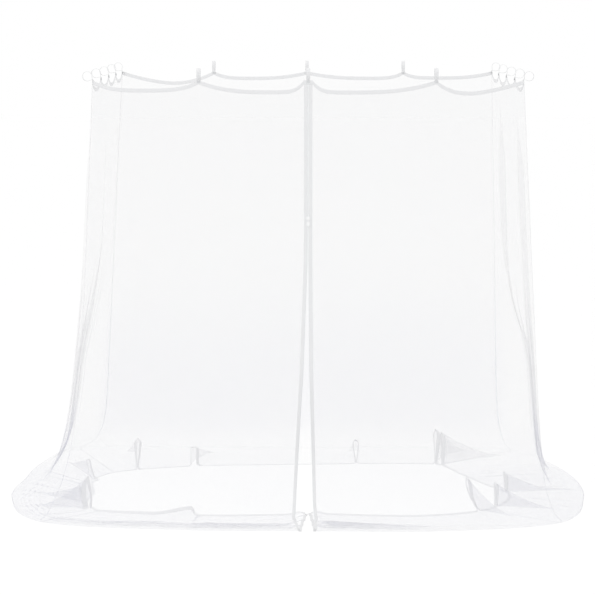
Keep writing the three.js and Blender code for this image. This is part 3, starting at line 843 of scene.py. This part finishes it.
# doubled netting sewn down each corner, on the inner face, in millimetres
seams = {"places": (2, 6, 10, 14), "width": 7, "thickness": 0.8, "inset": 0.7, "stitchLift": 0.4}


def makeSeams():
    parts, paths = [], []
    for place in seams["places"]:
        column = int(np.argmin(np.abs(columns.place - place)))
        middle = rowsOfCloth[1:-1, column]
        along = rowsOfCloth[1:-1, column + 1] - rowsOfCloth[1:-1, column - 1]
        along /= np.linalg.norm(along, axis=1)[:, None]
        inward = np.cross(np.gradient(middle, axis=0), along)
        inward /= np.linalg.norm(inward, axis=1)[:, None]
        half, middle = along * (seams["width"] * mm) / 2, middle + inward * (seams["inset"] * mm)
        parts.append(ribbonPart(middle - half, middle + half, seams["thickness"])[0])
        paths.append(middle + inward * seams["thickness"] * seams["stitchLift"] * mm)
    return weld(makePiece("cornerSeams", parts, netting)), paths


netSheet = makeNet()
cornerSeams, seamPaths = makeSeams()
headingTape, headingLow, headingHigh, headingOut = makeHeading()
hemTape, hemNear, hemFar, hemUp = makeHem()
zipTapes = {side: makeZipTape(side) for side in zipSides}
print("net and tapes made")


# Loops: one length of tape each, its two ends sewn together on the inner face of the heading

loopSizes = {
    "radius": 22, "width": 18, "thickness": 1.5, "layerGap": 0.1, "tab": (12, 6, 1), "neck": (1.5, 5),
    "inset": 3.3, "rise": 2, "reach": 11, "mouth": 0.35, "ringPoints": 37,
}
tackSizes = {"share": 0.42, "top": -3, "step": 0.62, "points": 13, "faces": (1.1, -5.2)}
facing = {"right": (1, 0), "back": (0, 1), "left": (-1, 0), "front": (0, -1)}

# place in plan, the side it faces, lean in degrees
loopRows = [
    ("loop_front_middle", (0, -1000), "front", 4), ("loop_front_left", (-508, -1000), "front", 6),
    ("loop_corner_front_left", (-1000, -986), "left", 58), ("loop_left_1", (-1000, -500), "left", 50),
    ("loop_left_2", (-1000, 0), "left", 50), ("loop_left_3", (-1000, 500), "left", 46),
    ("loop_corner_back_left", (-1000, 986), "left", 45), ("loop_back_left", (-504, 1000), "back", 5),
    ("loop_back_middle", (0, 1000), "back", 3), ("loop_back_right", (520, 1000), "back", 6),
    ("loop_corner_back_right", (1000, 986), "right", 46), ("loop_right_3", (1000, 500), "right", 48),
    ("loop_right_2", (1000, 0), "right", 54), ("loop_right_1", (1000, -500), "right", 53),
    ("loop_corner_front_right", (1000, -986), "right", 57), ("loop_front_right", (594, -1000), "front", 5),
]


def loopLine(lean):  # outward and up, along the middle of the tape
    tilt = math.radians(lean)
    half, radius = loopSizes["thickness"] / 2 + loopSizes["layerGap"], loopSizes["radius"]
    lie, side = np.array([math.sin(tilt), math.cos(tilt)]), np.array([math.cos(tilt), -math.sin(tilt)])
    elbow = np.array([-loopSizes["inset"], loopSizes["rise"]])
    centre = elbow + lie * (loopSizes["reach"] + radius)
    mouth = math.asin(half / radius) + loopSizes["mouth"]
    turn = np.linspace(mouth, 2 * math.pi - mouth, loopSizes["ringPoints"])
    ring = [centre - radius * (lie * math.cos(a) - side * math.sin(a)) for a in turn]

    def strand(away):  # from the sewn tab to the ring
        tab = [elbow + [away, -down] for down in loopSizes["tab"]]
        return tab + [elbow + lie * up + side * away for up in loopSizes["neck"]]
    return np.array(strand(half) + ring + strand(-half)[::-1])


def makeLoops():
    parts, tacks = [], []
    upward = np.array([0, 0, 1.0])
    zig = [(tackSizes["share"] * loopSizes["width"] * (-1) ** i, tackSizes["top"] - tackSizes["step"] * i)
           for i in range(tackSizes["points"])]
    for name, at, side, lean in loopRows:
        out, place = np.array(facing[side] + (0,), float), np.array(at + (0,), float)
        wide = np.array([out[1], -out[0], 0])
        line = loopLine(lean)
        middle = place + line[:, :1] * out + line[:, 1:] * upward
        half = wide * loopSizes["width"] / 2
        parts.append(ribbonPart((middle - half) * mm, (middle + half) * mm, loopSizes["thickness"])[0])
        for away in tackSizes["faces"]:
            tacks.append(np.array([place + wide * a + out * away + upward * b for a, b in zig]) * mm)
    return weld(makePiece("tapeLoops", parts, tapeWeave)), tacks


tapeLoops, tackPaths = makeLoops()
print("loops made")


# Geometry Nodes: one small bead repeated along paths, each a little larger or smaller

beadSizes = {"radius": 0.5, "rounds": 1, "vary": (0.9, 1.08)}


def pathTree(name, material, sideways):
    tree = bpy.data.node_groups.new(name, "GeometryNodeTree")

    def socket(label, kind, way="INPUT"):
        return tree.interface.new_socket(label, in_out=way, socket_type="NodeSocket" + kind).identifier

    def add(kind, **settings):
        node = tree.nodes.new(kind)
        for key, value in settings.items():
            setattr(node, key, value)
        return node

    socket("Geometry", "Geometry")
    names = {label: socket(label, "Float") for label in ("Pitch", "Length", "Width", "Height")}
    names["Seed"] = socket("Seed", "Int")
    socket("Geometry", "Geometry", "OUTPUT")
    entry, leave = add("NodeGroupInput"), add("NodeGroupOutput")
    toCurve, spread = add("GeometryNodeMeshToCurve"), add("GeometryNodeResampleCurve", mode="LENGTH")
    bead, size = add("GeometryNodeMeshIcoSphere"), add("ShaderNodeCombineXYZ")
    stretch = add("GeometryNodeTransform")
    tangent, turn = add("GeometryNodeInputTangent"), add("FunctionNodeAlignRotationToVector", axis="X")
    place, real = add("GeometryNodeInstanceOnPoints"), add("GeometryNodeRealizeInstances")
    finish, smooth = add("GeometryNodeSetMaterial"), add("GeometryNodeSetShadeSmooth")
    vary = add("FunctionNodeRandomValue", data_type="FLOAT")
    finish.inputs["Material"].default_value = material
    bead.inputs["Radius"].default_value = beadSizes["radius"]
    bead.inputs["Subdivisions"].default_value = beadSizes["rounds"]
    low, high = [s for s in vary.inputs if s.type == "VALUE" and s.enabled][:2]
    low.default_value, high.default_value = beadSizes["vary"]
    rotation = turn.outputs["Rotation"]
    if sideways:  # the bead's width lies across the tape
        level = add("FunctionNodeAlignRotationToVector", axis="Y", pivot_axis="X")
        level.inputs["Vector"].default_value = (1, 0, 0)
        tree.links.new(rotation, level.inputs["Rotation"])
        rotation = level.outputs["Rotation"]
    for source, target in (
        (entry.outputs["Geometry"], toCurve.inputs["Mesh"]),
        (toCurve.outputs["Curve"], spread.inputs["Curve"]),
        (entry.outputs["Pitch"], spread.inputs["Length"]),
        (entry.outputs["Length"], size.inputs["X"]),
        (entry.outputs["Width"], size.inputs["Y"]),
        (entry.outputs["Height"], size.inputs["Z"]),
        (bead.outputs["Mesh"], stretch.inputs["Geometry"]),
        (size.outputs["Vector"], stretch.inputs["Scale"]),
        (tangent.outputs["Tangent"], turn.inputs["Vector"]),
        (entry.outputs["Seed"], vary.inputs["Seed"]),
        (spread.outputs["Curve"], place.inputs["Points"]),
        (stretch.outputs["Geometry"], place.inputs["Instance"]),
        (rotation, place.inputs["Rotation"]),
        (next(s for s in vary.outputs if s.enabled), place.inputs["Scale"]),
        (place.outputs["Instances"], real.inputs["Geometry"]),
        (real.outputs["Geometry"], smooth.inputs["Geometry"]),
        (smooth.outputs["Geometry"], finish.inputs["Geometry"]),
        (finish.outputs["Geometry"], leave.inputs["Geometry"]),
    ):
        tree.links.new(source, target)
    return tree, names


def evaluated(piece):
    bpy.context.view_layer.update()
    return bpy.data.meshes.new_from_object(piece.evaluated_get(bpy.context.evaluated_depsgraph_get()))


def alongPaths(name, paths, sizes, material, sideways=False):
    edges, start = [], 0
    for path in paths:
        edges += [(start + i, start + i + 1) for i in range(len(path) - 1)]
        start += len(path)
    mesh = bpy.data.meshes.new(name)
    mesh.from_pydata(np.concatenate(paths).tolist(), edges, [])
    piece = newObject(name, mesh)
    tree, names = pathTree(name + "Tree", material, sideways)
    modifier = piece.modifiers.new("repeat", "NODES")
    modifier.node_group = tree
    for label, value in sizes.items():
        modifier[names[label]] = value
    done = evaluated(piece)
    piece.modifiers.remove(modifier)
    piece.data = done
    if not done.materials:
        done.materials.append(material)
    print(name, len(done.polygons), "faces")
    return piece


# beads in metres, then where the rows of stitches run: share of the tape's width, face
stitchBead = {"Pitch": 0.0036, "Length": 0.0029, "Width": 0.0008, "Height": 0.0006, "Seed": 7}
tackBead = {"Pitch": 0.0022, "Length": 0.003, "Width": 0.0007, "Height": 0.0006, "Seed": 11}
seamBead = {"Pitch": 0.0042, "Length": 0.0026, "Width": 0.0005, "Height": 0.0004, "Seed": 5}
stitchRows = {
    "lift": 0.42, "heading": ((0.15, 1), (0.85, 1), (0.15, -1)), "hem": (0.15, 0.85), "zip": (0.15, 0.3, 0.85),
}


def onTape(first, second, normal, share, face=1):
    return first + (second - first) * share + normal * face * tapes["thickness"] * stitchRows["lift"] * mm


def makeStitching():
    heading = [onTape(headingLow, headingHigh, headingOut, share, face) for share, face in stitchRows["heading"]]
    heading = [np.concatenate([path, path[:1]]) for path in heading]
    hem = [onTape(hemNear, hemFar, hemUp, share) for share in stitchRows["hem"]]
    zips = [onTape(*zipTapeEdges(side), zipTapes[side][1], share)
            for side in zipSides for share in stitchRows["zip"]]
    rows = (
        ("headingStitches", heading, stitchBead), ("hemStitches", hem, stitchBead),
        ("zipStitches", zips, stitchBead), ("loopTacks", tackPaths, tackBead),
        ("seamStitches", seamPaths, seamBead),
    )
    return [alongPaths(name, paths, sizes, sewingThread) for name, paths, sizes in rows]


# one turn of the coil in metres, then its place beside the tape in millimetres
coilTurn = {"Pitch": 0.0026, "Length": 0.0015, "Width": 0.0042, "Height": 0.0026, "Seed": 3}
coilSizes = {"away": 0.4, "lift": 0.6, "end": 34}


def makeCoil(side):
    path = frontPath(side, cloth["gap"] * 2 + zipSizes["tape"] + coilSizes["away"])
    stop = int(np.argmax(path[:, 2] < (coilSizes["end"] - cloth["hang"]) * mm))
    path = path[:stop] + zipTapes[side][1][:stop] * coilSizes["lift"] * mm
    if side == "right":  # the two coils mesh half a pitch apart
        path[0] += (path[1] - path[0]) / np.linalg.norm(path[1] - path[0]) * coilTurn["Pitch"] / 2
    return alongPaths("zipCoil" + side.title(), [path], coilTurn, nylonCoil, sideways=True)


stitching = makeStitching()
zipCoils = {side: makeCoil(side) for side in zipSides}
print("stitches and coils made")


# Slider and pull, cut as rounded plates and set square to the wall

sliderSizes = {
    "height": 1406, "width": 17, "foot": 14, "length": 15, "depth": 3.6, "corner": 2.5, "lift": 1.8, "edge": 0.6,
}
pullSizes = {
    "width": 16, "length": 19, "neck": 4, "neckLength": 14, "depth": 1.6, "corner": 2.5, "hole": 2.2, "gap": 0.3,
    "edge": 0.35,
}
plateSteps = {"corner": 6, "bow": 9, "hole": 20, "bevel": 3}


def zipPlace():
    edge = rowsOfCloth[:, 0]
    high = (sliderSizes["height"] - cloth["hang"]) * mm
    row = int(np.argmax(edge[:, 2] < high))
    up = edge[row - 1] - edge[row]
    seat = edge[row] + up * (high - edge[row][2]) / up[2]
    return Matrix.Translation((0, seat[1], seat[2])) @ Matrix.Rotation(math.atan2(up[2], up[1]), 4, "X")


def roundedOutline(top, foot, length, corner):
    corners = np.array([(-foot, -length), (foot, -length), (top, length), (-top, length)]) / 2
    points = []
    for i in range(4):
        here, before, after = corners[i], corners[i - 1], corners[(i + 1) % 4]
        a = here + (before - here) / np.linalg.norm(before - here) * corner
        b = here + (after - here) / np.linalg.norm(after - here) * corner
        points += [(1 - t) ** 2 * a + 2 * t * (1 - t) * here + t * t * b
                   for t in np.linspace(0, 1, plateSteps["corner"])]
    return np.array(points)


def platePiece(name, outlines, sizes, shift):
    curve = bpy.data.curves.new(name, "CURVE")
    curve.dimensions, curve.fill_mode = "2D", "BOTH"
    curve.extrude = (sizes["depth"] / 2 - sizes["edge"]) * mm
    curve.bevel_depth, curve.offset = sizes["edge"] * mm, -sizes["edge"] * mm
    curve.bevel_resolution = plateSteps["bevel"]
    for outline in outlines:
        spline = curve.splines.new("POLY")
        spline.points.add(len(outline) - 1)
        flat = np.zeros(len(outline))
        spline.points.foreach_set("co", np.column_stack([outline * mm, flat, flat + 1]).ravel())
        spline.use_cyclic_u = True
    blank = newObject(name + "Flat", curve)
    mesh = evaluated(blank)
    bpy.data.objects.remove(blank)
    mesh.transform(zipPlace() @ Matrix.Translation(np.array(shift) * mm))
    mesh.materials.clear()
    mesh.materials.append(whiteSlider)
    return newObject(name, mesh)


def makeSlider():
    s = sliderSizes
    outline = roundedOutline(s["width"], s["foot"], s["length"], s["corner"])
    return platePiece("zipSlider", [outline], s, (0, 0, s["lift"] + s["depth"] / 2))


def makePull():
    s, p = sliderSizes, pullSizes
    top, half = p["length"] / 2, p["neck"] / 2
    turn = np.linspace(0, 2 * math.pi, plateSteps["hole"], endpoint=False)
    hole = np.column_stack([p["hole"] * np.cos(turn), top - 2 * p["hole"] + p["hole"] * np.sin(turn)])
    tab = roundedOutline(p["width"], p["width"], p["length"], p["corner"])
    crown = top + p["neckLength"]
    bow = [(half * math.cos(a), crown - half + half * math.sin(a))
           for a in np.linspace(0, math.pi, plateSteps["bow"])]
    neck = int(np.argmax(tab[:, 1] > 0)) + plateSteps["corner"]  # it rises between the tab's two upper corners
    outline = np.concatenate([tab[:neck], [(half, top)], bow, [(-half, top)], tab[neck:]])
    middle = -top - s["length"] / 2 - p["neckLength"] / 2
    high = s["lift"] + s["depth"] + p["gap"] + p["depth"] / 2
    return platePiece("zipPull", [outline, hole[::-1]], p, (0, middle, high))


zipSlider, zipPull = makeSlider(), makePull()
print("slider made")


# Each piece hung from the root body, with the imported parts it stands for hidden

def settle(piece, slot, *nodes):
    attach(piece, "root")
    if nodes:
        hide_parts(*nodes)


settle(netSheet, "net", "net_front_left", "net_left", "net_back", "net_right", "net_front_right")
settle(cornerSeams, "net")
settle(headingTape, "tape", "heading_tape")
settle(hemTape, "tape", "hem_tape")
for side in zipSides:
    settle(zipTapes[side][0], "tape", "zip_tape_" + side)
    settle(zipCoils[side], "zip_coil", "zip_coil_" + side)
settle(tapeLoops, "tape", *[row[0] for row in loopRows])
for piece in stitching:
    settle(piece, "tape")
settle(zipSlider, "zip_slider", "zip_slider")
settle(zipPull, "zip_slider", "zip_pull")
sewnOn = [cornerSeams, headingTape, hemTape, zipTapes["left"][0], zipTapes["right"][0]] + stitching
lowTapes = [hemTape, zipTapes["left"][0], zipTapes["right"][0]] + stitching[1:3]
for piece in [netSheet, cornerSeams] + lowTapes:  # sheer, or too slight, to throw a shadow
    piece.visible_diffuse = False
    piece.visible_shadow = False


# Floor and light

stage = {
    "floor": (0.89, 0.89, 0.89), "floorRoughness": 0.9, "floorGloss": 0.1, "floorSize": 200, "world": 1.0,
    "sun": 0.42, "sunSpread": 70, "sunPlace": (-2, -3, 8), "sunAim": (0, 0, -2),
    "key": 25, "keySize": 4, "keyPlace": (-3.5, -5, 3.5), "keyAim": (0, 0, -1),
    "layers": 40,  # of netting that light may pass
}


def makeFloor():
    finish = Finish("paleFloor").surface({
        "Base Color": stage["floor"] + (1,),
        "Roughness": stage["floorRoughness"],
        "Specular IOR Level": stage["floorGloss"],
    })
    half, low = stage["floorSize"] / 2, -cloth["hang"] * mm
    mesh = bpy.data.meshes.new("floor")
    corners = [(-half, -half, low), (half, -half, low), (half, half, low), (-half, half, low)]
    mesh.from_pydata(corners, [], [(0, 1, 2, 3)])
    mesh.materials.append(finish)
    newObject("floor", mesh)


def makeLight():
    world = bpy.data.worlds.new("softStudio")
    world.use_nodes = True
    sky = world.node_tree.nodes["Background"]
    sky.inputs["Color"].default_value = (1, 1, 1, 1)
    sky.inputs["Strength"].default_value = stage["world"]
    bpy.context.scene.world = world
    sun = bpy.data.lights.new("softSun", "SUN")
    sun.energy, sun.angle = stage["sun"], math.radians(stage["sunSpread"])
    key = bpy.data.lights.new("keyLight", "AREA")
    key.energy, key.size = stage["key"], stage["keySize"]
    for lamp, label in ((sun, "sun"), (key, "key")):
        light = newObject(lamp.name, lamp)
        light.location = stage[label + "Place"]
        aim = Vector(stage[label + "Aim"]) - light.location
        light.rotation_euler = aim.to_track_quat("-Z", "Y").to_euler()


makeFloor()
makeLight()
bpy.context.scene.view_settings.view_transform = "Standard"
bpy.context.scene.cycles.transparent_max_bounces = stage["layers"]
print("stage set")
